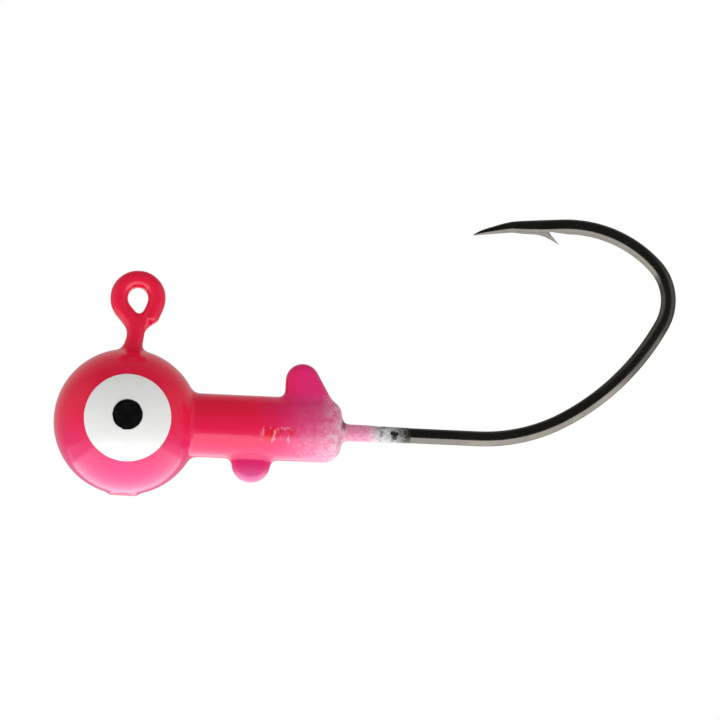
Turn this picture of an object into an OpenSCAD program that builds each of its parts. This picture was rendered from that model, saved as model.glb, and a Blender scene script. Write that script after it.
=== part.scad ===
// Painted ball jig head cast on a wide-bend hook, in millimetres.
// X runs back along the shank, Z runs up through the line tie and Y runs across the head.
// The origin is the centre of the line tie's loop. The head faces -X, so its left side is -Y.

/* [Hook wire] */
// Diameter of the bare hook wire
wire_d = 1; // [0.75:0.05:1.2]
// Height of the line tie's centre above the shank's axis
tie_height = 8.43; // [7.6:0.1:10.5]
// Radius of the line tie's loop, at the middle of the wire
loop_r = 1.3; // [1.1:0.05:1.6]
// Angle from straight down to where the loop turns into the neck
loop_end = 45; // [38:1:52]
// Angle below level where the loop straightens into its tail
tail_from = 22; // [16:1:28]
// Length of the straight slant between the loop and the neck's bend
slant_len = 0.65; // [0.4:0.05:0.9]
// Radius of the neck's bend under the loop, at the middle of the wire
neck_r = 1.4; // [1.2:0.1:1.8]
// Angle that the neck leans from upright
neck_lean = 11; // [5:1:15]
// Gap left between the painted cut end and the painted neck
tail_gap = 0.04; // [0.03:0.01:0.1]
// Radius of the bend that is cast into the ball
heel_r = 1.5; // [1.2:0.1:2]
// Distance from the line tie's centre back to the first bend of the hook
shank_reach = 23.5; // [19.5:0.5:30]

/* [Hook bend] */
// Radius of the first, gentle bend at the foot of the hook
foot_r = 11.5; // [9:0.1:14]
// Angle of the bend at the foot
foot_turn = 30.5; // [25:0.5:34]
// Radius of the long side of the bend
side_r = 16.4; // [13:0.1:20]
// Angle of the long side
side_turn = 32.5; // [28:0.5:36]
// Radius of the tight corner at the back of the hook
corner_r = 3.4; // [2.8:0.1:4.2]
// Angle of the tight corner
corner_turn = 72; // [66:0.5:76]
// Radius of the shoulder that leads into the point
shoulder_r = 8.2; // [6.5:0.1:10]
// Angle of the shoulder
shoulder_turn = 49; // [44:0.5:53]

/* [Hook point] */
// Length of the straight point, from the shoulder to the tip
point_len = 6.1; // [5.2:0.1:7.5]
// Distance from the tip back to the barb's root
barb_at = 4.6; // [3.8:0.1:5]
// Length of the barb along the wire
barb_len = 1.2; // [0.9:0.1:1.4]
// Height of the barb's tip off the wire
barb_lift = 0.75; // [0.5:0.05:0.95]
// Width of the barb across its root
barb_w = 0.56; // [0.4:0.02:0.7]
// Depth of the cut that raises the barb
barb_cut = 0.17; // [0.1:0.01:0.2]
// Length of the bevel that is ground on the tip
bevel_len = 2.6; // [2:0.1:3.2]
// Height and width of the wire where the bevel starts
bevel_d = 0.77; // [0.6:0.01:0.8]
// Height and width of the very tip
tip_d = 0.07; // [0.05:0.01:0.15]

/* [Lead head] */
// Diameter of the bare lead ball
ball_d = 9.76; // [8.1:0.1:11.8]
// Distance that the ball's centre sits ahead of the line tie
ball_lead = 0.4; // [0:0.1:1]
// Diameter of the bare collar that holds the bait
collar_d = 4.11; // [3.4:0.01:5]
// Distance from the ball's centre to the collar's rear face
collar_len = 14.53; // [13.5:0.01:18]
// Radius of the fillet between the ball and the collar
fillet_r = 0.72; // [0.4:0.01:1]
// Radius of the collar's rear edge
collar_edge = 0.98; // [0.5:0.01:1.1]
// Diameter of the gate's stub under the ball
gate_d = 1.6; // [1:0.1:2]
// Height of the gate's stub below the ball
gate_h = 0.06; // [0.04:0.01:0.2]

/* [Bait keepers] */
// Thickness of both keepers
keeper_t = 1.6; // [1.2:0.1:2]
// Radius of the keepers' rounded rims
keeper_edge = 0.35; // [0.2:0.05:0.5]
// Radius of the upper keeper's crown
upper_r = 1.03; // [0.8:0.01:1.2]
// Height of the upper keeper's crown above the collar
upper_rise = 2.31; // [1.8:0.01:2.8]
// Distance from the collar's rear face to the centre of the crown
upper_back = 2.7; // [2.5:0.1:4]
// Angle that the upper keeper's rear face slopes from upright
upper_rake = 30.5; // [20:0.5:34]
// Radius of the lower keeper
lower_r = 1.21; // [1:0.01:1.5]
// Depth of the lower keeper below the collar
lower_drop = 1.59; // [1.2:0.01:2]
// Distance from the collar's rear face to the centre of the lower keeper
lower_back = 5.96; // [5.5:0.01:7]

/* [Paint] */
// Thickness of the white base coat
base_t = 0.05; // [0.03:0.01:0.08]
// Thickness of the fluorescent colour coat
colour_t = 0.07; // [0.04:0.01:0.12]
// Thickness of the colour on the line tie
tie_coat_t = 0.06; // [0.05:0.01:0.12]
// Thickness of the colour where it runs down the neck onto the ball
neck_coat_t = 0.17; // [0.1:0.01:0.22]
// Length of the overspray on the shank
overspray_len = 4.7; // [3:0.1:7]
// Length of the shank that carries a full coat
full_coat_len = 1.9; // [1:0.1:2.8]
// Thickness left at the end of the overspray
feather_t = 0.02; // [0.015:0.005:0.03]

/* [Painted eyes] */
// Diameter of each white disc
white_d = 6.02; // [5:0.02:7.2]
// Height of the white disc's centre above the ball's centre
white_rise = 0.21; // [0:0.01:0.4]
// Thickness of the white enamel
white_t = 0.08; // [0.05:0.01:0.12]
// Diameter of each black pupil
pupil_d = 2.1; // [1.7:0.1:2.6]
// Height of the pupil's centre above the ball's centre
pupil_rise = 0.44; // [0:0.01:0.8]
// Thickness of the black enamel
pupil_t = 0.05; // [0.04:0.01:0.08]

/* [Hidden] */
$fn = 64;

wire_r = wire_d / 2;
wire_sides = 20;
ball_r = ball_d / 2;
collar_r = collar_d / 2;
film_t = base_t + colour_t;
painted_r = ball_r + film_t;

// The ball's centre, the collar's axis and the painted rear face.
ball_at = [-ball_lead, 0, -tie_height];
rear_x = collar_len - ball_lead;
painted_rear_x = rear_x + film_t;

// The loop is a circle about the origin. A straight slant leads from it into the neck's bend.
loop_end_at = 270 - loop_end;
slant_way = [-sin(loop_end_at), cos(loop_end_at)];
neck_centre = (loop_r + neck_r) * [cos(loop_end_at), sin(loop_end_at)] + slant_len * slant_way;
neck_top = neck_centre + neck_r * [cos(neck_lean), -sin(neck_lean)];

// The loop straightens into a tail, whose painted corner stops short of the painted neck by tail_gap.
tie_coat_r = wire_r + tie_coat_t;
neck_reach = neck_r + tie_coat_r + tail_gap;
tail_root = loop_r * [cos(tail_from), -sin(tail_from)];
tail_down = [-sin(tail_from), -cos(tail_from)];
tail_corner = (loop_r - tie_coat_r) * [cos(tail_from), -sin(tail_from)] - neck_centre;
corner_run = tail_corner * tail_down;
painted_tail = -corner_run - sqrt(corner_run ^ 2 - tail_corner * tail_corner + neck_reach ^ 2);
loop_turn = loop_end_at + tail_from;
neck_turn = loop_end - 90 - neck_lean;

// The straight neck ends where the cast-in bend brings the wire onto the collar's axis.
heel_top = heel_r * (1 + sin(neck_lean)) - tie_height;
neck_len = (neck_top.y - heel_top) / cos(neck_lean);
heel_end = neck_top.x - neck_len * sin(neck_lean) + heel_r * cos(neck_lean);

// A leg of the wire is [length along its middle, angle it turns to the left, number of steps].
function straight(length, steps = 1) = [length, 0, steps];
function curve(r, turn, steps) = [r * abs(turn) * PI / 180, turn, steps];

// Chord of one step, so that the rings of a bend lie exactly on its arc.
function step_chord(leg) =
    leg[1] == 0
        ? leg[0] / leg[2]
        : leg[0] * 360 / (PI * abs(leg[1])) * sin(abs(leg[1]) / leg[2] / 2);

// The paint starts one short step before the wire's cut end.
cut_ring = 1;
tail_steps = 2;
loop_steps = 30;
slant_steps = 1;
neck_steps = 8;
drop_steps = 6;
point_steps = 14;
wire_legs = [
    straight(tie_coat_t, cut_ring),
    straight(painted_tail - tie_coat_t, tail_steps),
    curve(loop_r, loop_turn, loop_steps),
    straight(slant_len, slant_steps),
    curve(neck_r, neck_turn, neck_steps),
    straight(neck_len, drop_steps),
    curve(heel_r, 90 + neck_lean, 10),
    straight(shank_reach - heel_end),
    curve(foot_r, foot_turn, 8),
    curve(side_r, side_turn, 10),
    curve(corner_r, corner_turn, 12),
    curve(shoulder_r, shoulder_turn, 12),
    straight(point_len, point_steps)
];
wire_steps = [
    for (leg = wire_legs) for (i = [1 : leg[2]]) [step_chord(leg), leg[1] / leg[2]],
    [0, 0]
];

// The middle of the wire as rings of [x, z, heading], from the painted end to the tip.
tail_start = tail_root + painted_tail * tail_down;
wire_line = [
    for (
        i = 0, at = tail_start, way = 90 - tail_from;
        i < len(wire_steps);
        at = at + wire_steps[i][0] * [cos(way + wire_steps[i][1] / 2), sin(way + wire_steps[i][1] / 2)],
        way = way + wire_steps[i][1],
        i = i + 1
    ) [at.x, at.y, way]
];
last_ring = len(wire_line) - 1;
neck_ring = cut_ring + tail_steps + loop_steps + slant_steps + neck_steps;
coat_end_ring = neck_ring + drop_steps / 2;
point_at = [wire_line[last_ring].x, wire_line[last_ring].y];
point_way = wire_line[last_ring].z;

// Distance of a ring from the tip, which only matters on the point.
function to_tip(i) = min(last_ring - i, point_steps) * point_len / point_steps;

// Radius of the wire at a ring: full to the barb, then tapering to the bevel and the tip.
function ring_r(i) =
    lookup(to_tip(i), [[0, tip_d / 2], [bevel_len, bevel_d / 2], [barb_at, wire_r]]);

// The point keeps its outer side straight to the bevel, and the tip lies on its inner side.
function ring_shift(i) =
    lookup(to_tip(i), [[0, wire_r - tip_d], [bevel_len, bevel_d / 2 - wire_r], [barb_at, 0]]);

// Thickness of the colour on the line tie, which runs thicker where the neck meets the ball.
function coat_at(i) =
    lookup(i, [[neck_ring, tie_coat_t], [neck_ring + 2, neck_coat_t]]);

// The points of one ring around the wire's middle.
function ring_points(i, r) =
    let (ring = wire_line[i], across = [-sin(ring.z), cos(ring.z)])
        [
            for (k = [0 : wire_sides - 1])
                let (a = 360 * k / wire_sides, out = ring_shift(i) + r * cos(a))
                    [ring.x + across.x * out, r * sin(a), ring.y + across.y * out]
        ];

// The faces of a tube, whose first ring starts at a given point.
function tube_faces(start, steps) = [
    for (i = [0 : steps - 1]) for (k = [0 : wire_sides - 1])
        let (next = (k + 1) % wire_sides, here = start + i * wire_sides, there = here + wire_sides)
            [here + k, here + next, there + next, there + k]
];

// The flat end of a tube, whose ring starts at a given point.
function end_face(start) = [for (k = [0 : wire_sides - 1]) start + k];

function reversed(face) = [for (i = [len(face) - 1 : -1 : 0]) face[i]];

// The faces that close the end of a coat, from the ring of its skin to the ring of its bore.
function rim_faces(skin, bore) = [
    for (k = [0 : wire_sides - 1])
        let (next = (k + 1) % wire_sides)
            [skin + k, skin + next, bore + next, bore + k]
];

module wire() {
    steps = last_ring - cut_ring;
    polyhedron(
        [for (i = [cut_ring : last_ring]) each ring_points(i, ring_r(i))],
        concat(tube_faces(0, steps), [reversed(end_face(0)), end_face(steps * wire_sides)]),
        convexity = 8
    );
}

// The paint on the wire: an outer skin from the painted end, a bore that the wire fills, and a rim.
module wire_coat() {
    bore = (coat_end_ring + 1) * wire_sides;
    bore_steps = coat_end_ring - cut_ring;
    rim_out = coat_end_ring * wire_sides;
    rim_in = bore + bore_steps * wire_sides;
    polyhedron(
        concat(
            [for (i = [0 : coat_end_ring]) each ring_points(i, wire_r + coat_at(i))],
            [for (i = [cut_ring : coat_end_ring]) each ring_points(i, wire_r)]
        ),
        concat(
            tube_faces(0, coat_end_ring),
            [for (face = tube_faces(bore, bore_steps)) reversed(face)],
            [reversed(end_face(0)), end_face(bore)],
            rim_faces(rim_out, rim_in)
        ),
        convexity = 8
    );
}

// Places a flat outline at the tip: X back along the wire, Y toward the shank.
module on_point() {
    translate([point_at.x, 0, point_at.y])
        rotate([0, -point_way, 0])
            rotate([90, 0, 0])
                mirror([1, 0, 0])
                    children();
}

// The spur, seen from the side, with its root sunk in the wire.
module barb_side() {
    cut_at = barb_at + barb_len / 2;
    polygon([
        [barb_at - wire_r, 0],
        [barb_at - wire_r, wire_r - barb_cut / 2],
        [barb_at, wire_r + barb_cut / 2],
        [barb_at + barb_len, wire_r + barb_lift],
        [cut_at, wire_r - barb_cut],
        [cut_at, 0]
    ]);
}

// The cut behind the spur, which runs out to the surface of the wire.
module barb_notch() {
    cut_at = barb_at + barb_len / 2;
    cut_end = cut_at + barb_len;
    polygon([
        [cut_at, wire_r - barb_cut],
        [cut_end, wire_r],
        [cut_end, wire_d],
        [cut_at, wire_d]
    ]);
}

module barb() {
    spur_root = barb_at - wire_r;
    spur_end = barb_at + barb_len;
    intersection() {
        on_point()
            linear_extrude(barb_w, center = true) barb_side();
        on_point()
            rotate([90, 0, 0])
                linear_extrude(4 * (wire_d + barb_lift), center = true)
                    polygon([
                        [spur_root, -barb_w / 2],
                        [spur_root, barb_w / 2],
                        [barb_at, barb_w / 2],
                        [spur_end, tip_d / 2],
                        [spur_end, -tip_d / 2],
                        [barb_at, -barb_w / 2]
                    ]);
    }
}

// Half outline of the ball, fillet and collar: X is the radius and Y runs back from the ball.
module head_outline(grow) {
    r = collar_r + grow;
    edge = collar_edge + grow;
    fillet = fillet_r - grow;
    fillet_at = sqrt((ball_r + fillet_r) ^ 2 - (collar_r + fillet_r) ^ 2);
    intersection() {
        circle(ball_r + grow);
        translate([0, -ball_d]) square([ball_d, 2 * ball_d]);
    }
    difference() {
        polygon([[0, 0], [r + fillet, fillet_at], [0, fillet_at]]);
        translate([r + fillet, fillet_at]) circle(fillet);
    }
    square([r, collar_len + grow - edge]);
    square([r - edge, collar_len + grow]);
    translate([r - edge, collar_len + grow - edge])
        intersection() {
            circle(edge);
            square(edge);
        }
}

// A thick disc with a rounded rim, lying across the head.
module rounded_disc(r, t, edge) {
    rotate([90, 0, 0])
        rotate_extrude()
            union() {
                translate([0, -t / 2]) square([r - edge, t]);
                translate([0, edge - t / 2]) square([r, t - 2 * edge]);
                for (side = [-1, 1])
                    translate([r - edge, side * (t / 2 - edge)]) circle(edge);
            }
}

// The crown leans into the collar between an upright front face and a raked rear face.
module upper_keeper(grow) {
    r = upper_r + grow;
    t = keeper_t + 2 * grow;
    edge = keeper_edge + grow;
    crown_x = collar_len - upper_back;
    crown_z = collar_r + upper_rise - upper_r;
    root_drop = upper_rise;
    spread = root_drop * tan(upper_rake / 2);
    hull() {
        translate([crown_x, 0, crown_z])
            rounded_disc(r, t, edge, $fn = 32);
        translate([crown_x + spread, 0, crown_z - root_drop])
            rounded_disc(r + spread, t, edge, $fn = 32);
    }
}

module lower_keeper(grow) {
    translate([collar_len - lower_back, 0, lower_r - collar_r - lower_drop])
        rounded_disc(lower_r + grow, keeper_t + 2 * grow, keeper_edge + grow);
}

// The flat stub left under the ball where the casting was cut from its gate.
module gate_stub(grow) {
    translate([0, 0, -ball_r - gate_h - grow])
        cylinder(h = ball_r, d = gate_d + 2 * grow);
}

// The whole outside of the head, grown evenly by the paint that lies on it.
module head_shape(grow) {
    translate(ball_at) {
        rotate([0, 90, 0])
            rotate_extrude()
                head_outline(grow);
        upper_keeper(grow);
        lower_keeper(grow);
        gate_stub(grow);
    }
}

// A film of paint on the head, from one depth to another, open where the wire passes.
module head_film(inner, outer) {
    difference() {
        head_shape(outer);
        head_shape(inner);
        wire();
    }
}

// A round dot of enamel that follows the ball, on the side named by -1 for left and 1 for right.
module enamel_dot(side, d, rise, depth, t) {
    translate(ball_at)
        intersection() {
            difference() {
                sphere(painted_r + depth + t);
                sphere(painted_r + depth);
            }
            translate([0, 0, rise])
                rotate([-90 * side, 0, 0])
                    cylinder(h = painted_r + white_t + pupil_t, d = d);
        }
}

module hook() {
    color("#2b2826")
        union() {
            difference() {
                wire();
                on_point()
                    linear_extrude(2 * wire_d, center = true) barb_notch();
            }
            barb();
        }
}

module head_casting() {
    color("#8d9093")
        difference() {
            head_shape(0);
            wire();
        }
}

module base_coat() {
    color("#f2eeee") head_film(0, base_t);
}

module colour_coat() {
    color("#e81c50") head_film(base_t, film_t);
}

module eye_coat() {
    color("#e0204f")
        difference() {
            wire_coat();
            translate(ball_at) sphere(painted_r);
        }
}

// One ring around the straight shank, at a distance behind the painted rear face.
function shank_ring(back, r) = [
    for (k = [0 : wire_sides - 1])
        let (a = 360 * k / wire_sides)
            [painted_rear_x + back, r * sin(a), r * cos(a) - tie_height]
];

module shank_coat() {
    coat_r = wire_r + tie_coat_t;
    bore = 3 * wire_sides;
    color("#e88fae")
        polyhedron(
            concat(
                shank_ring(0, coat_r),
                shank_ring(full_coat_len, coat_r),
                shank_ring(overspray_len, wire_r + feather_t),
                shank_ring(0, wire_r),
                shank_ring(overspray_len, wire_r)
            ),
            concat(
                tube_faces(0, 2),
                [for (face = tube_faces(bore, 1)) reversed(face)],
                [for (face = rim_faces(0, bore)) reversed(face)],
                rim_faces(2 * wire_sides, bore + wire_sides)
            ),
            convexity = 4
        );
}

module left_eye_white() {
    color("#f4f4f4") enamel_dot(-1, white_d, white_rise, 0, white_t);
}

module right_eye_white() {
    color("#f4f4f4") enamel_dot(1, white_d, white_rise, 0, white_t);
}

module left_pupil() {
    color("#101010") enamel_dot(-1, pupil_d, pupil_rise, white_t, pupil_t);
}

module right_pupil() {
    color("#101010") enamel_dot(1, pupil_d, pupil_rise, white_t, pupil_t);
}

hook();
head_casting();
base_coat();
colour_coat();
eye_coat();
shank_coat();
left_eye_white();
right_eye_white();
left_pupil();
right_pupil();
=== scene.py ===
import math

import bmesh
import bpy
from mathutils import Matrix, Vector


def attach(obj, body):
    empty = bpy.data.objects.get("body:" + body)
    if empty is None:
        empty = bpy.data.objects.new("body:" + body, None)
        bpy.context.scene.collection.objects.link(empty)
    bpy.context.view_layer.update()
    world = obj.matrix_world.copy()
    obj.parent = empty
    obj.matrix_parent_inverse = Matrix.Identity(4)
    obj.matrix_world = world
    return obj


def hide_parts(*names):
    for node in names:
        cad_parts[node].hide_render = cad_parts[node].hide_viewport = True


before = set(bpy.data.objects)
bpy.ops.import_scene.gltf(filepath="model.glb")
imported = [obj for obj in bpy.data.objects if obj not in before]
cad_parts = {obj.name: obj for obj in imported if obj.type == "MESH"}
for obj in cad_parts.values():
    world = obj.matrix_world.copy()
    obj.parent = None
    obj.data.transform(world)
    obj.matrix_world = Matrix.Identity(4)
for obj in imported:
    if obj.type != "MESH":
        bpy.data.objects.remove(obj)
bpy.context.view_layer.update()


# ----------------------------------------------------------------------------------------
# Hook. One length of round steel wire, bent cold into the line tie, the neck, the shank and
# the wide bend, then plated in bright black nickel. The point is ground to a needle with a
# flat bevel on its outer side, and the barb is a spur cut up from its inner side.

mm = 0.001
wire_r = 0.51
tie_height = 8.43
loop_r = 1.3
loop_end_at = 222.0
tail_from = -22.0
tail_len = 1.0
slant_len = 0.83
neck_r = 1.4
neck_lean = 11.0
neck_len = 4.096
heel_r = 1.5
shank_len = 22.92
shank_z = -8.5
hook_bends = ((11.5, 30.5, 20), (16.4, 32.5, 28), (3.44, 72, 28), (8.2, 49, 24))
barb_at = 4.6
barb_len = 1.2
barb_lift = 0.715
barb_w = 0.5

pen = [0.0, 0.0, 0.0]


def open_for_editing(piece):
    """Opens one piece alone in edit mode with all of it selected."""
    bpy.ops.object.select_all(action="DESELECT")
    piece.select_set(True)
    bpy.context.view_layer.objects.active = piece
    bpy.ops.object.mode_set(mode="EDIT")
    bpy.ops.mesh.select_mode(type="VERT")
    bpy.ops.mesh.select_all(action="SELECT")


def close_editing():
    bpy.ops.object.mode_set(mode="OBJECT")


def put_pen(x, z, way):
    """Places the pen in the plane of the hook, in millimetres and degrees."""
    pen[:] = [x, z, way]


def draw_straight(length, steps=1):
    """Draws the selected ring or point out along the pen's heading."""
    way = math.radians(pen[2])
    reach = Vector((math.cos(way), 0, math.sin(way))) * length
    for _ in range(steps):
        bpy.ops.mesh.extrude_region_move(
            TRANSFORM_OT_translate={"value": reach * mm / steps}
        )
    pen[0] += reach.x
    pen[1] += reach.z


def draw_bend(radius, turn, steps):
    """Sweeps the selected ring or point round a bend, to the left if the turn is positive."""
    side = math.copysign(1, turn)
    way = math.radians(pen[2])
    centre_x = pen[0] - side * radius * math.sin(way)
    centre_z = pen[1] + side * radius * math.cos(way)
    bpy.ops.mesh.spin(
        steps=steps,
        angle=math.radians(turn),
        center=(centre_x * mm, 0, centre_z * mm),
        axis=(0, 1, 0),
    )
    way += math.radians(turn)
    put_pen(
        centre_x + side * radius * math.sin(way),
        centre_z - side * radius * math.cos(way),
        pen[2] + turn,
    )


def start_ring(name, radius, beyond=0.0):
    """A ring at the cut end of the tail, or a little beyond it, ready to be drawn along."""
    root = math.radians(tail_from)
    run = tail_len + beyond
    put_pen(
        loop_r * math.cos(root) + run * math.sin(root),
        loop_r * math.sin(root) - run * math.cos(root),
        tail_from + 90,
    )
    bpy.ops.object.select_all(action="DESELECT")
    bpy.ops.mesh.primitive_circle_add(
        vertices=36,
        radius=radius * mm,
        location=(pen[0] * mm, 0, pen[1] * mm),
        rotation=(0, math.radians(90 - pen[2]), 0),
    )
    bpy.ops.object.transform_apply(location=True, rotation=True, scale=True)
    piece = bpy.context.object
    piece.name = piece.data.name = name
    open_for_editing(piece)
    return piece


def close_ends():
    """Fills the open rings of the piece that is being edited and turns its faces outward."""
    bpy.ops.mesh.select_all(action="DESELECT")
    bpy.ops.mesh.select_non_manifold()
    bpy.ops.mesh.edge_face_add()
    bpy.ops.mesh.select_all(action="SELECT")
    bpy.ops.mesh.normals_make_consistent(inside=False)


def scale_ring(factor, x, z):
    bpy.ops.transform.resize(
        value=(factor, factor, factor), center_override=(x * mm, 0, z * mm)
    )


def draw_tie_and_neck():
    draw_straight(tail_len, 4)
    draw_bend(loop_r, loop_end_at - tail_from, 64)
    draw_straight(slant_len, 4)
    draw_bend(neck_r, 180 - neck_lean - loop_end_at, 16)


hook = start_ring("hook_wire", wire_r)
draw_tie_and_neck()
draw_straight(neck_len, 4)
draw_bend(heel_r, 90 + neck_lean, 20)
draw_straight(shank_len, 8)
for radius, turn, steps in hook_bends:
    draw_bend(radius, turn, steps)

# Each ring of the point: the run to it, its radius, and how far it is ground toward the shank.
point_rings = (
    (1.5, 0.5, 0.0),
    (0.4, 0.482, -0.010),
    (0.6, 0.456, -0.030),
    (0.6, 0.415, -0.056),
    (0.4, 0.37, -0.070),
    (0.5, 0.335, -0.012),
    (0.4, 0.293, 0.049),
    (0.4, 0.248, 0.115),
    (0.4, 0.205, 0.178),
    (0.4, 0.15, 0.254),
    (0.3, 0.085, 0.335),
    (0.17, 0.035, 0.39),
    (0.03, 0.015, 0.41),
)
way = math.radians(pen[2])
inward = Vector((-math.sin(way), 0, math.cos(way)))
ring_radius, ring_shift = wire_r, 0.0
for length, radius, shift in point_rings:
    draw_straight(length)
    bpy.ops.transform.translate(value=inward * (shift - ring_shift) * mm)
    scale_ring(radius / ring_radius, pen[0] + inward.x * shift, pen[1] + inward.z * shift)
    ring_radius, ring_shift = radius, shift
tip_x, tip_z, tip_way = pen
close_ends()
close_editing()


def on_point(along, lift):
    """A place on the point: so far back from the tip and so far toward the shank."""
    way = math.radians(tip_way)
    return (
        tip_x - along * math.cos(way) - lift * math.sin(way),
        tip_z - along * math.sin(way) + lift * math.cos(way),
    )


def start_point(name, x, z, way=0.0):
    """A single point in the hook's plane, ready to be drawn out into an outline."""
    bpy.ops.object.select_all(action="DESELECT")
    bpy.ops.mesh.primitive_plane_add(size=mm)
    piece = bpy.context.object
    piece.name = piece.data.name = name
    open_for_editing(piece)
    bpy.ops.mesh.merge(type="CENTER")
    bpy.ops.transform.translate(value=(x * mm, 0, z * mm))
    put_pen(x, z, way)
    return piece


def draw_to(x, z):
    pen[2] = math.degrees(math.atan2(z - pen[1], x - pen[0]))
    draw_straight(math.hypot(x - pen[0], z - pen[1]))


def thicken_outline(width):
    """Fills the drawn outline and extrudes it to a width across the hook's plane."""
    bpy.ops.mesh.select_all(action="SELECT")
    bpy.ops.mesh.edge_face_add()
    bpy.ops.transform.translate(value=(0, -width / 2 * mm, 0))
    bpy.ops.mesh.extrude_region_move(TRANSFORM_OT_translate={"value": (0, width * mm, 0)})
    bpy.ops.mesh.select_all(action="SELECT")
    bpy.ops.mesh.normals_make_consistent(inside=False)


def combine(piece, other, operation):
    """Adds another solid to a piece, or cuts it away, and clears the other solid."""
    cut = piece.modifiers.new("cut", "BOOLEAN")
    cut.operation = operation
    cut.solver = "EXACT"
    cut.object = other
    bpy.context.view_layer.objects.active = piece
    bpy.ops.object.modifier_apply(modifier=cut.name)
    bpy.data.objects.remove(other)


def select_faces_facing(piece, axis, least):
    """Selects the faces whose normal lies along an axis, on either side."""
    bpy.ops.mesh.select_mode(type="FACE")
    bpy.ops.mesh.select_all(action="DESELECT")
    shape = bmesh.from_edit_mesh(piece.data)
    for face in shape.faces:
        face.select_set(abs(face.normal[axis]) > least)
    bmesh.update_edit_mesh(piece.data)


notch_back = barb_at + 1.5 * barb_len
notch_top = 1.2
notch = start_point("notch", *on_point(barb_at + 0.5, 0.29))
draw_to(*on_point(notch_back, wire_r))
draw_to(*on_point(notch_back, notch_top))
draw_to(*on_point(barb_at + barb_len / 2, notch_top))
thicken_outline(4 * wire_r)
close_editing()
combine(hook, notch, "DIFFERENCE")

spur = start_point("spur", *on_point(barb_at - 0.75, 0.2))
spur_back = (
    (barb_at - 0.7, 0.44),
    (barb_at - 0.2, 0.5),
    (barb_at + 0.25, 0.66),
    (barb_at + 0.7, 0.9),
    (barb_at + barb_len, wire_r + barb_lift),
)
spur_front = (
    (barb_at + 0.84, 0.74),
    (barb_at + 0.62, 0.5),
    (barb_at + 0.52, 0.25),
    (barb_at + 0.42, 0.1),
)
for along, lift in spur_back + spur_front:
    draw_to(*on_point(along, lift))
thicken_outline(barb_w)
shape = bmesh.from_edit_mesh(spur.data)
bpy.ops.mesh.select_all(action="DESELECT")
for along, lift in spur_back:
    x, z = on_point(along, lift)
    for corner in shape.verts:
        if math.hypot(corner.co.x - x * mm, corner.co.z - z * mm) < 0.02 * mm:
            corner.select_set(True)
bmesh.update_edit_mesh(spur.data)
bpy.ops.transform.resize(value=(1, 0.3, 1), center_override=(0, 0, 0))
bpy.ops.mesh.select_all(action="SELECT")
bpy.ops.mesh.bevel(offset=0.03 * mm, segments=2)
close_editing()
combine(hook, spur, "UNION")
open_for_editing(hook)
bpy.ops.mesh.remove_doubles(threshold=0.0005 * mm)
close_editing()
bpy.ops.object.shade_smooth_by_angle(angle=math.radians(38))


def add_node(tree, kind, settings=None, **sockets):
    """A shader node with its settings. Sockets go by name, or by number after the letter i."""
    made = tree.nodes.new(kind)
    for name, value in (settings or {}).items():
        setattr(made, name, value)
    for name, value in sockets.items():
        socket = made.inputs[int(name[1:]) if name[1:].isdigit() else name]
        if isinstance(value, bpy.types.NodeSocket):
            tree.links.new(value, socket)
        else:
            socket.default_value = value
    return made


def start_group(name, inputs, output):
    """An effect that several finishes share, with named inputs and one output."""
    group = bpy.data.node_groups.new(name, "ShaderNodeTree")
    for label, kind, value in inputs:
        socket = group.interface.new_socket(label, in_out="INPUT", socket_type=kind)
        if value is not None:
            socket.default_value = value
    group.interface.new_socket(output, in_out="OUTPUT", socket_type="NodeSocketFloat")
    return group, group.nodes.new("NodeGroupInput"), group.nodes.new("NodeGroupOutput")


def read(tree, kind, output):
    """One output of a node that has nothing to set."""
    return add_node(tree, kind).outputs[output]


NUMBER, VECTOR = "NodeSocketFloat", "NodeSocketVector"
SMOOTH = {"interpolation_type": "SMOOTHSTEP"}

specks, given, result = start_group(
    "specks",
    (
        ("Vector", VECTOR, None),
        ("Scale", NUMBER, 2000.0),
        ("Size", NUMBER, 0.1),
        ("Softness", NUMBER, 0.05),
    ),
    "Mask",
)
given = given.outputs
cells = add_node(
    specks, "ShaderNodeTexVoronoi", Vector=given["Vector"], Scale=given["Scale"]
)
edge = add_node(specks, "ShaderNodeMath", i0=given["Size"], i1=given["Softness"])
near = add_node(
    specks, "ShaderNodeMapRange", SMOOTH, i0=cells.outputs["Distance"],
    i1=given["Size"], i2=edge.outputs[0], i3=1.0, i4=0.0,
)
specks.links.new(near.outputs[0], result.inputs["Mask"])

patches, given, result = start_group(
    "patches",
    (
        ("Vector", VECTOR, None),
        ("Scale", NUMBER, 1000.0),
        ("Start", NUMBER, 0.45),
        ("End", NUMBER, 0.6),
    ),
    "Mask",
)
given = given.outputs
cloud = add_node(
    patches, "ShaderNodeTexNoise", Vector=given["Vector"], Scale=given["Scale"],
    Detail=4.0, Roughness=0.6,
)
level = add_node(
    patches, "ShaderNodeMapRange", SMOOTH, i0=cloud.outputs[0],
    i1=given["Start"], i2=given["End"], i3=0.0, i4=1.0,
)
patches.links.new(level.outputs[0], result.inputs["Mask"])

ramp, given, result = start_group(
    "ramp along a direction",
    (
        ("Vector", VECTOR, None),
        ("Direction", VECTOR, None),
        ("Start", NUMBER, 0.0),
        ("End", NUMBER, 1.0),
    ),
    "Mask",
)
given = given.outputs
reach = add_node(
    ramp, "ShaderNodeVectorMath", {"operation": "DOT_PRODUCT"},
    i0=given["Vector"], i1=given["Direction"],
)
level = add_node(
    ramp, "ShaderNodeMapRange", SMOOTH, i0=reach.outputs["Value"],
    i1=given["Start"], i2=given["End"], i3=0.0, i4=1.0,
)
ramp.links.new(level.outputs[0], result.inputs["Mask"])


def use_group(tree, group, **sockets):
    return add_node(tree, "ShaderNodeGroup", {"node_tree": group}, **sockets).outputs["Mask"]


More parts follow.
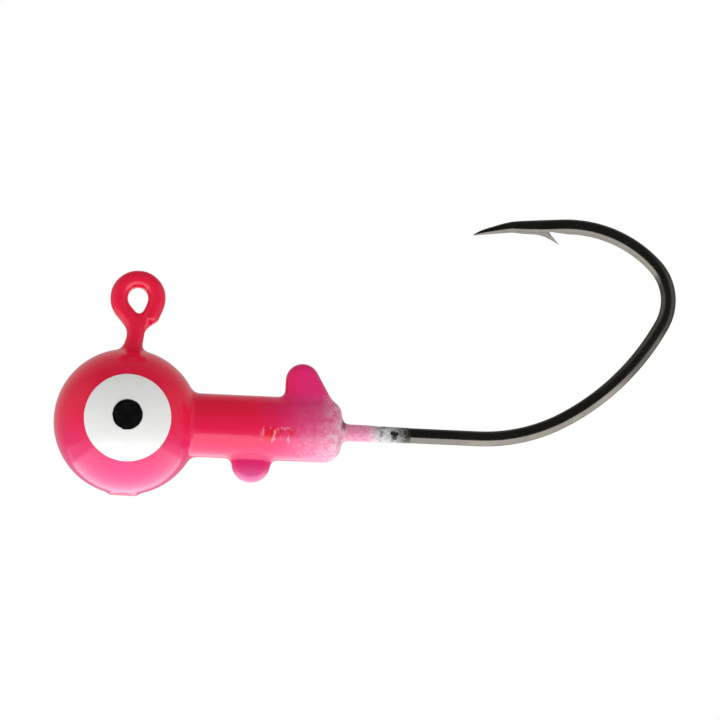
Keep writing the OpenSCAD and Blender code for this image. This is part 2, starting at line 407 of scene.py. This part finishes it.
def new_finish(name, **values):
    """A finish with its constant values on the shader, the place on the piece, and its tree."""
    finish = bpy.data.materials.new(name)
    finish.use_nodes = True
    tree = finish.node_tree
    shader = tree.nodes["Principled BSDF"]
    for label, value in values.items():
        shader.inputs[label.replace("_", " ")].default_value = value
    return finish, tree, shader, read(tree, "ShaderNodeTexCoord", "Object")


def feed(tree, value, shader, socket):
    tree.links.new(value, shader.inputs[socket])


def blend(tree, mask, first, second):
    """Mixes two colours by a mask."""
    mixed = add_node(
        tree, "ShaderNodeMix", {"data_type": "RGBA"}, i0=mask, i6=first, i7=second
    )
    return mixed.outputs[2]


def amount(tree, operation, first, second):
    """Arithmetic on masks, which stays between nought and one."""
    settings = {"operation": operation, "use_clamp": True}
    return add_node(tree, "ShaderNodeMath", settings, i0=first, i1=second).outputs[0]


def vary(tree, mask, low, high):
    """Turns a mask from nought to one into a value between two others."""
    return add_node(tree, "ShaderNodeMapRange", i0=mask, i3=low, i4=high).outputs[0]


def stretched(tree, place, sizes, turn=(0, 0, 0)):
    """The place with each direction stretched, for streaks and scratches."""
    return add_node(tree, "ShaderNodeMapping", i0=place, i2=turn, i3=sizes).outputs[0]


def emboss(tree, shader, height, strength, depth):
    """Raises the fine relief of a finish, to a depth in millimetres."""
    relief = add_node(
        tree, "ShaderNodeBump", Strength=strength, Distance=depth * mm, Height=height
    )
    feed(tree, relief.outputs[0], shader, "Normal")


def dress(piece, finish, slot, *nodes):
    """Puts a finish on a piece, hangs it on the body and lets it stand for its CAD nodes."""
    piece.data.materials.clear()
    piece.data.materials.append(finish)
    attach(piece, "root")
    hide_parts(*nodes)


black_nickel, tree, shader, place = new_finish(
    "black_nickel", Base_Color=(0.17, 0.155, 0.135, 1), Metallic=1.0, Roughness=0.2,
    Specular_Tint=(0.5, 0.48, 0.45, 1),
)
drawn_out = stretched(tree, place, (1, 6, 6))
scratch = use_group(tree, patches, Vector=drawn_out, Scale=2600.0, Start=0.6, End=0.72)
dust = use_group(tree, specks, Vector=place, Scale=5200.0, Size=0.07, Softness=0.09)
stain = use_group(tree, patches, Vector=place, Scale=420.0, Start=0.4, End=0.7)
tone = blend(tree, stain, (0.15, 0.137, 0.12, 1), (0.19, 0.176, 0.155, 1))
tone = blend(tree, amount(tree, "MULTIPLY", scratch, 0.5), tone, (0.34, 0.32, 0.28, 1))
tone = blend(tree, amount(tree, "MULTIPLY", dust, 0.55), tone, (0.03, 0.028, 0.025, 1))
feed(tree, tone, shader, "Base Color")
worn = amount(tree, "MAXIMUM", scratch, dust)
feed(tree, vary(tree, worn, 0.17, 0.38), shader, "Roughness")
emboss(tree, shader, scratch, 0.12, 0.01)
dress(hook, black_nickel, "black_nickel", "hook")


# ----------------------------------------------------------------------------------------
# Lead head. The ball, the collar and both keepers are one casting of lead alloy, poured
# round the wire in a two-part mould. It is wholly under the paint, and the white base coat
# is a thin matt film that was dipped over it.

lead, tree, shader, place = new_finish(
    "lead", Base_Color=(0.3, 0.31, 0.33, 1), Metallic=0.9, Roughness=0.55
)
grain = use_group(tree, patches, Vector=place, Scale=900.0, Start=0.35, End=0.7)
tone = blend(tree, grain, (0.24, 0.25, 0.27, 1), (0.38, 0.39, 0.41, 1))
feed(tree, tone, shader, "Base Color")
feed(tree, vary(tree, grain, 0.62, 0.45), shader, "Roughness")
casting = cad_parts["head_casting"]
casting.data.materials.clear()
casting.data.materials.append(lead)

primer, tree, shader, place = new_finish(
    "white_primer", Base_Color=(0.86, 0.84, 0.84, 1), Roughness=0.7
)
grain = use_group(tree, patches, Vector=place, Scale=2400.0, Start=0.3, End=0.7)
tone = blend(tree, grain, (0.8, 0.78, 0.78, 1), (0.9, 0.88, 0.88, 1))
feed(tree, tone, shader, "Base Color")
base_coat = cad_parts["base_coat"]
base_coat.data.materials.clear()
base_coat.data.materials.append(primer)


# ----------------------------------------------------------------------------------------
# Colour coat. One dip of fluorescent pink gloss covers the head, the neck, the line tie and
# the first of the shank. It rounds off every inner corner: it webs the crotch of the line
# tie, climbs the neck in a small collar and softens the feet of the keepers.

ball_x = -0.4
ball_r = 4.97
collar_r = 2.175
fillet_r = 0.6
rear_x = 14.25
rear_edge = 1.2
keeper_w = 1.84
keeper_edge = 0.47
crown_x, crown_z, crown_r, rake = 11.43, -5.095, 1.15, 30.5
upper_foot = -8.0
lower_x, lower_z, lower_r = 8.17, -10.865, 1.33
gate_r, gate_z, gate_len = 0.9, -13.45, 4.0
tie_r = 0.615
sleeve_r = 0.59
bridge_r, bridge_len = 0.43, 1.15
bridge_x, bridge_z, bridge_lean = 0.4, -1.8, 49.7
sleeve_len = 6.0
sleeve_taper = 0.95
shank_end = 19.15
soak = 0.12
voxel = 0.12
film = 0.065


def round_rims(piece, radius):
    """Rounds the two rims of a disc that lies across the head."""
    select_faces_facing(piece, 1, 0.9)
    bpy.ops.mesh.region_to_loop()
    bpy.ops.mesh.bevel(offset=radius * mm, segments=6)


# The solids are drawn too big by the soak, and the merged skin is drawn back by it, which
# leaves paint in the inner corners.
turned = start_point("turned", ball_x - ball_r - soak, -tie_height, 90)
fillet_along = math.sqrt((ball_r + fillet_r) ** 2 - (collar_r + fillet_r) ** 2)
contact = math.degrees(math.atan2(collar_r + fillet_r, fillet_along))
draw_bend(ball_r + soak, contact - 180, 72)
draw_bend(fillet_r - soak, 90 - contact, 8)
draw_straight(rear_x - rear_edge - pen[0], 12)
draw_bend(rear_edge + soak, -90, 12)
draw_to(pen[0], -tie_height)
bpy.ops.mesh.select_all(action="SELECT")
bpy.ops.mesh.spin(steps=96, angle=math.tau, center=(0, 0, -tie_height * mm), axis=(1, 0, 0))
bpy.ops.mesh.select_all(action="SELECT")
bpy.ops.mesh.remove_doubles(threshold=0.002 * mm)
bpy.ops.mesh.normals_make_consistent(inside=False)
close_editing()

upper = start_point("upper", crown_x - crown_r - soak, upper_foot, 90)
draw_straight(crown_z - upper_foot)
draw_bend(crown_r + soak, rake - 180, 24)
draw_straight((pen[1] - upper_foot) / math.cos(math.radians(rake)))
thicken_outline(keeper_w + 2 * soak)
round_rims(upper, keeper_edge + soak)
close_editing()


def add_cylinder(name, radius, depth, place, turn=(0, 0, 0)):
    """A cylinder of the solids under the paint, in millimetres."""
    bpy.ops.object.select_all(action="DESELECT")
    bpy.ops.mesh.primitive_cylinder_add(
        vertices=72,
        radius=radius * mm,
        depth=depth * mm,
        location=Vector(place) * mm,
        rotation=turn,
    )
    bpy.ops.object.transform_apply(location=True, rotation=True, scale=True)
    piece = bpy.context.object
    piece.name = piece.data.name = name
    return piece


across, along_shank = (math.pi / 2, 0, 0), (0, math.pi / 2, 0)
lower = add_cylinder(
    "lower", lower_r + soak, keeper_w + 2 * soak, (lower_x, 0, lower_z), across
)
open_for_editing(lower)
round_rims(lower, keeper_edge + soak)
close_editing()

gate = add_cylinder(
    "gate", gate_r + soak, gate_len, (ball_x, 0, gate_z - soak + gate_len / 2)
)

end_scale, end_growth = 0.6, 1.4
tie = start_ring("tie", end_scale * (tie_r + soak), beyond=0.1 + soak)
draw_straight(0.08)
scale_ring(end_growth, pen[0], pen[1])
draw_straight(0.02 + soak)
scale_ring(1 / (end_scale * end_growth), pen[0], pen[1])
draw_tie_and_neck()
ring_radius = tie_r
neck_rings = ((0.2, 0.61), (0.35, 0.66), (0.3, 0.74), (1.5, 0.8))
for length, radius in neck_rings:
    draw_straight(length)
    scale_ring((radius + soak) / (ring_radius + soak), pen[0], pen[1])
    ring_radius = radius
close_ends()
close_editing()

leaning = (0, math.radians(bridge_lean), 0)
bridge = add_cylinder(
    "bridge", bridge_r + soak, bridge_len, (bridge_x, 0, bridge_z), leaning
)

sleeve_start = rear_x + 1 - sleeve_len
sleeve = add_cylinder(
    "sleeve", sleeve_r + soak, sleeve_len, (sleeve_start + sleeve_len / 2, 0, shank_z), along_shank
)
open_for_editing(sleeve)
select_faces_facing(sleeve, 0, 0.9)
shape = bmesh.from_edit_mesh(sleeve.data)
for face in shape.faces:
    face.select_set(face.select and face.calc_center_median().x > rear_x * mm)
bmesh.update_edit_mesh(sleeve.data)
rest_of_sleeve = shank_end - sleeve_start - sleeve_len
bpy.ops.mesh.extrude_region_move(
    TRANSFORM_OT_translate={"value": (rest_of_sleeve * mm, 0, 0)}
)
bpy.ops.transform.resize(
    value=(1, sleeve_taper, sleeve_taper), center_override=(shank_end * mm, 0, shank_z * mm)
)
close_editing()

bpy.ops.object.select_all(action="DESELECT")
for solid in (turned, upper, lower, gate, tie, bridge, sleeve):
    solid.select_set(True)
bpy.context.view_layer.objects.active = turned
bpy.ops.object.join()
skin = turned


def apply_modifier(piece, kind, **settings):
    """Adds a modifier with its settings and applies it at once."""
    made = piece.modifiers.new(kind.lower(), kind)
    for name, value in settings.items():
        setattr(made, name, value)
    bpy.context.view_layer.objects.active = piece
    bpy.ops.object.modifier_apply(modifier=made.name)


def melt(rounds):
    """Makes one even skin of the joined solids and lets it settle."""
    apply_modifier(
        skin, "REMESH", mode="VOXEL", voxel_size=voxel * mm, use_smooth_shade=True
    )
    apply_modifier(skin, "SMOOTH", factor=0.5, iterations=rounds)


melt(4)
apply_modifier(skin, "DISPLACE", strength=-soak * mm, mid_level=0.0)
melt(9)


def part_of_skin(name, *cuts):
    """A stretch of the paint between flat cuts, with the film's thickness turned inward."""
    piece = skin.copy()
    piece.data = skin.data.copy()
    piece.name = piece.data.name = name
    bpy.context.scene.collection.objects.link(piece)
    open_for_editing(piece)
    for at, toward in cuts:
        bpy.ops.mesh.select_all(action="SELECT")
        bpy.ops.mesh.bisect(
            plane_co=Vector(at) * mm,
            plane_no=toward,
            clear_outer=True,
            threshold=0.0001 * mm,
        )
        bpy.ops.mesh.select_all(action="SELECT")
        bpy.ops.mesh.remove_doubles(threshold=0.004 * mm)
    close_editing()
    apply_modifier(piece, "SOLIDIFY", thickness=film * mm, offset=-1.0)
    bpy.ops.object.shade_smooth_by_angle(angle=math.radians(50))
    return piece


neck_cut, sleeve_cut, end_cut = (0, 0, -2.95), (14.5, 0, 0), (18.95, 0, 0)
up, down, back, ahead = (0, 0, 1), (0, 0, -1), (1, 0, 0), (-1, 0, 0)
colour_coat = part_of_skin("colour_coat_paint", (neck_cut, up), (sleeve_cut, back))
eye_coat = part_of_skin("line_tie_paint", (neck_cut, down))
shank_coat = part_of_skin("shank_overspray", (sleeve_cut, ahead), (end_cut, back))
bpy.data.objects.remove(skin)

pink, tree, shader, place = new_finish(
    "pink_paint", Base_Color=(0.78, 0.01, 0.07, 1), Roughness=0.17, IOR=1.5
)


def slope(direction, start, end):
    """A mask, in the finish in hand, that climbs between two places in millimetres."""
    return use_group(
        tree, ramp, Vector=place, Direction=direction, Start=start * mm, End=end * mm
    )


def overlap(*masks):
    """What masks or shares have in common, in the finish in hand."""
    common = masks[0]
    for mask in masks[1:]:
        common = amount(tree, "MULTIPLY", common, mask)
    return common


def scatter(group, scale, start, end, at=None):
    """Specks of a size and softness, or patches between two levels, in the finish in hand."""
    first, second = ("Size", "Softness") if group == specks else ("Start", "End")
    return use_group(
        tree, group, Vector=at or place, Scale=scale, **{first: start, second: end}
    )


# The colour runs from a redder pink above to a bluer one below, a painted shift of hue for
# shade on the top and light from below, and it is bluer at the rear. The foot of the lower
# keeper is painted paler, as painted light from below.
tone = blend(tree, slope(up, -13.2, -7.0), (0.7, 0.014, 0.19, 1), (0.82, 0.009, 0.052, 1))
tone = blend(tree, slope(back, 7.5, 13.0), tone, (0.76, 0.022, 0.18, 1))
# Painted light from below on the foot of the lower keeper.
painted_lit_foot = overlap(slope(down, 10.6, 12.4), slope(back, 5.6, 6.6), 0.5)
tone = blend(tree, painted_lit_foot, tone, (0.85, 0.28, 0.55, 1))

# The coat thins toward the rear, most of all below, and the white shows through its grain.
thin = overlap(
    slope(back, 9.6, 14.6),
    slope(down, 5.6, 7.2),
    vary(tree, slope(down, 7.4, 9.6), 0.38, 1.0),
)
mottle = scatter(patches, 2300.0, 0.35, 0.66)
pale = overlap(thin, vary(tree, mottle, 0.55, 1.0))
tone = blend(tree, pale, tone, (0.72, 0.31, 0.47, 1))
flecks = scatter(specks, 900.0, 0.02, 0.02)
tone = blend(tree, flecks, tone, (0.12, 0.01, 0.015, 1))
rim = overlap(slope(back, 12.6, 14.3), vary(tree, mottle, 0.1, 0.55))
chalk = overlap(scatter(specks, 3400.0, 0.14, 0.1), overlap(thin, 0.7))
chalk = amount(tree, "ADD", chalk, rim)
tone = blend(tree, chalk, tone, (0.78, 0.7, 0.73, 1))

# A scuff on the left of the collar has creased the coat.
scuffed = overlap(
    slope(back, 8.5, 9.4),
    slope(ahead, -11.4, -10.6),
    slope(up, -9.5, -9.1),
    slope(down, 8.2, 8.5),
    slope((0, -1, 0), 0.5, 1.2),
)
blotch = overlap(scuffed, scatter(patches, 900.0, 0.42, 0.56))
tone = blend(tree, blotch, tone, (0.74, 0.008, 0.03, 1))
crease_place = stretched(tree, place, (1.6, 1.0, 0.7), (0, 0.9, 0))
crease = overlap(scuffed, scatter(patches, 1900.0, 0.54, 0.64, crease_place))
tone = blend(tree, overlap(crease, 0.5), tone, (0.9, 0.62, 0.7, 1))

# Wet paint has gathered on the gate stub. A painted shadow darkens the gap where the shank
# leaves the collar, over the bare dark wire there.
gate_mark = overlap(slope(down, 13.34, 13.4), 0.8)
tone = blend(tree, gate_mark, tone, (0.42, 0.004, 0.015, 1))
# Painted shadow in the gap at the top of the shank's exit, over bare dark wire.
gap_shade = overlap(slope(back, 14.2, 14.28), slope(up, -8.5, -8.1), 0.8)
tone = blend(tree, gap_shade, tone, (0.06, 0.01, 0.02, 1))
feed(tree, tone, shader, "Base Color")
dull = amount(tree, "MAXIMUM", pale, chalk)
feed(tree, vary(tree, dull, 0.17, 0.6), shader, "Roughness")
peel = add_node(tree, "ShaderNodeTexNoise", Vector=place, Scale=1500.0, Detail=3.0)
peel = vary(tree, peel.outputs[0], 0.0, 0.25)
lumps = amount(tree, "ADD", peel, overlap(crease, 0.6))
lumps = amount(tree, "ADD", lumps, overlap(chalk, 0.15))
emboss(tree, shader, lumps, 0.35, 0.03)
dress(colour_coat, pink, "pink_paint", "colour_coat")
dress(eye_coat, pink, "pink_paint", "eye_coat")

# The overspray goes from pink to grey dust, breaks into patches, and ends in bare plate.
overspray, tree, shader, place = new_finish(
    "pink_overspray", Base_Color=(0.8, 0.2, 0.35, 1), Roughness=0.5
)
grains = scatter(patches, 4200.0, 0.38, 0.62)
tone = blend(tree, grains, (0.78, 0.19, 0.36, 1), (0.84, 0.33, 0.5, 1))
dusting = blend(tree, grains, (0.38, 0.37, 0.39, 1), (0.66, 0.65, 0.68, 1))
tone = blend(tree, slope(back, 15.8, 16.9), tone, dusting)
white_grains = scatter(specks, 3800.0, 0.16, 0.12)
white_grains = overlap(white_grains, slope(back, 15.2, 16.6), 0.8)
tone = blend(tree, white_grains, tone, (0.85, 0.85, 0.87, 1))
gone = overlap(scatter(patches, 1500.0, 0.5, 0.58), slope(back, 16.2, 17.4))
ragged = vary(tree, grains, 0.35, -0.1)
fade = amount(tree, "SUBTRACT", slope(back, 17.0, 18.8), ragged)
fade = amount(tree, "MAXIMUM", fade, slope(back, 18.1, 18.85))
gone = amount(tree, "MAXIMUM", gone, fade)
tone = blend(tree, gone, tone, (0.022, 0.02, 0.018, 1))
feed(tree, tone, shader, "Base Color")
feed(tree, vary(tree, gone, 0.6, 0.25), shader, "Roughness")
emboss(tree, shader, grains, 0.4, 0.02)
dress(shank_coat, overspray, "pink_overspray", "shank_coat")


# ----------------------------------------------------------------------------------------
# Painted eyes. Each is a thick round drop of white enamel that was stamped on the side of
# the ball, with a smaller drop of black enamel over it a little above its middle.

eye_x = ball_x + 0.1
white_r = 2.94
white_rise = 0.3
white_t = 0.08
pupil_r = 1.03
pupil_rise = 0.52
pupil_t = 0.05


def enamel_drop(name, side, radius, rise, bed, thickness, wobble, seed):
    """A drop of enamel on the ball: rings drawn inward, laid on a sphere, then thickened."""
    x, z = eye_x, rise - tie_height
    clear = side * 8
    bpy.ops.object.select_all(action="DESELECT")
    bpy.ops.mesh.primitive_circle_add(
        vertices=96,
        radius=radius * mm,
        location=(x * mm, clear * mm, z * mm),
        rotation=(-side * math.pi / 2, 0, 0),
    )
    bpy.ops.object.transform_apply(location=True, rotation=True, scale=True)
    drop = bpy.context.object
    drop.name = drop.data.name = name
    open_for_editing(drop)
    bpy.ops.transform.vertex_random(offset=wobble * mm, seed=seed)
    for _ in range(2):
        bpy.ops.mesh.vertices_smooth(factor=0.5)
    rings = 12
    for ring in range(rings, 1, -1):
        bpy.ops.mesh.extrude_region_move()
        shrink = (ring - 1) / ring
        bpy.ops.transform.resize(
            value=(shrink, 1, shrink), center_override=(x * mm, clear * mm, z * mm)
        )
    bpy.ops.mesh.edge_face_add()
    bpy.ops.mesh.select_all(action="SELECT")
    bpy.ops.mesh.normals_make_consistent(inside=False)
    close_editing()
    bpy.ops.mesh.primitive_uv_sphere_add(
        segments=192,
        ring_count=96,
        radius=(ball_r + bed) * mm,
        location=(ball_x * mm, 0, -tie_height * mm),
    )
    bed_shape = bpy.context.object
    apply_modifier(
        drop, "SHRINKWRAP", target=bed_shape, wrap_method="PROJECT", use_project_y=True,
        use_project_x=False, use_project_z=False, use_negative_direction=True,
        use_positive_direction=True, project_limit=abs(clear) * mm,
    )
    bpy.data.objects.remove(bed_shape)
    apply_modifier(drop, "SOLIDIFY", thickness=thickness * mm, offset=1.0)
    apply_modifier(
        drop, "BEVEL", width=thickness * 0.55 * mm, segments=3,
        limit_method="ANGLE", angle_limit=math.radians(50),
    )
    open_for_editing(drop)
    bpy.ops.mesh.normals_make_consistent(inside=False)
    close_editing()
    bpy.ops.object.shade_smooth()
    return drop


enamel, tree, shader, place = new_finish(
    "white_enamel", Base_Color=(0.84, 0.84, 0.83, 1), Roughness=0.2
)
cloud = scatter(patches, 700.0, 0.3, 0.75)
tone = blend(tree, cloud, (0.85, 0.85, 0.84, 1), (0.82, 0.82, 0.81, 1))
feed(tree, tone, shader, "Base Color")
ripple = add_node(tree, "ShaderNodeTexNoise", Vector=place, Scale=600.0)
emboss(tree, shader, ripple.outputs[0], 0.05, 0.02)

ink, tree, shader, place = new_finish(
    "black_enamel", Base_Color=(0.005, 0.005, 0.005, 1), Roughness=0.22, IOR=1.3
)
cloud = scatter(patches, 1600.0, 0.35, 0.7)
tone = blend(tree, cloud, (0.003, 0.003, 0.003, 1), (0.007, 0.007, 0.006, 1))
feed(tree, tone, shader, "Base Color")

for side, word in ((-1, "left"), (1, "right")):
    white = enamel_drop(
        word + "_eye_white_enamel", side, white_r, white_rise, 0.0, white_t, 0.02, 4
    )
    dress(white, enamel, "white_enamel", word + "_eye_white")
    black = enamel_drop(
        word + "_pupil_enamel", side, pupil_r, pupil_rise, white_t, pupil_t, 0.05, 7
    )
    dress(black, ink, "black_enamel", word + "_pupil")


# ----------------------------------------------------------------------------------------
# Studio. A pale floor lies below the jig. Three soft lights just above the floor shine up:
# two are seen only in the gloss, and the third only lights the paint. The surround is white,
# and dark in the gloss but behind and at the sides. The camera looks square at the left side.

middle_x = 0.0155
floor_z = -0.1

bpy.ops.object.select_all(action="DESELECT")
bpy.ops.mesh.primitive_plane_add(size=2.0, location=(0.015, 0, floor_z))
floor = bpy.context.object
floor.name = floor.data.name = "floor"
floor.visible_glossy = False
pale_floor = new_finish("pale_floor", Base_Color=(0.8, 0.8, 0.8, 1), Roughness=0.8)[0]
floor.data.materials.append(pale_floor)


def add_soft_light(name, sizes, y, above_floor, energy):
    """A soft light that lies just above the floor and shines up."""
    lamp = bpy.data.lights.new(name, "AREA")
    lamp.shape = "RECTANGLE"
    lamp.size, lamp.size_y = sizes
    lamp.energy = energy
    light = bpy.data.objects.new(name, lamp)
    light.location = (middle_x, y, floor_z + above_floor)
    light.rotation_euler = (math.pi, 0, 0)
    light.visible_camera = False
    bpy.context.scene.collection.objects.link(light)
    return light


add_soft_light("soft_shine", (0.22, 0.278), -0.0065, 0.0115, 0.3).visible_diffuse = False
add_soft_light("soft_edge", (0.36, 0.278), -0.0065, 0.0105, 0.2).visible_diffuse = False
add_soft_light("soft_fill", (0.8, 0.3), -0.1, 0.014, 0.85).visible_glossy = False


def fade_between(value, start, end, low, high):
    """A strength of the surround that changes with the direction."""
    settings = dict(i0=value, i1=start, i2=end, i3=low, i4=high)
    return add_node(tree, "ShaderNodeMapRange", **settings).outputs[0]


def choose(ray, first, second):
    """The second strength for one kind of ray, and the first for all others."""
    kind = read(tree, "ShaderNodeLightPath", ray)
    return add_node(tree, "ShaderNodeMix", i0=kind, i2=first, i3=second).outputs[0]


world = bpy.data.worlds.new("surround")
world.use_nodes = True
bpy.context.scene.world = world
tree = world.node_tree
sky = tree.nodes["Background"]
sky.inputs["Color"].default_value = (1, 1, 1, 1)
outward = read(tree, "ShaderNodeTexCoord", "Generated")
outward = add_node(tree, "ShaderNodeSeparateXYZ", i0=outward).outputs
aside = add_node(tree, "ShaderNodeMath", {"operation": "ABSOLUTE"}, i0=outward["X"])
behind = fade_between(outward["Y"], 0.1, 0.8, 0.05, 0.5)
beside = fade_between(aside.outputs[0], 0.55, 0.9, 0.0, 0.42)
shine = add_node(tree, "ShaderNodeMath", {"operation": "MAXIMUM"}, i0=behind, i1=beside)
fill = fade_between(outward["Z"], -0.1, 0.1, 0.22, 0.68)
strength = choose("Is Camera Ray", choose("Is Glossy Ray", fill, shine.outputs[0]), 1.0)
tree.links.new(strength, sky.inputs["Strength"])

camera_away = 1.5
view_width = 0.04896
view_roll = 2.6
eye = bpy.data.cameras.new("camera")
eye.sensor_width = 36
eye.lens = eye.sensor_width * camera_away / view_width
eye.clip_start, eye.clip_end = 0.01, 20
camera = bpy.data.objects.new("camera", eye)
camera.matrix_world = (
    Matrix.Translation((0.01527, -camera_away, -0.00351))
    @ Matrix.Rotation(math.radians(90), 4, "X")
    @ Matrix.Rotation(math.radians(view_roll), 4, "Z")
)
bpy.context.scene.collection.objects.link(camera)
bpy.context.scene.camera = camera
bpy.context.scene.view_settings.view_transform = "Standard"
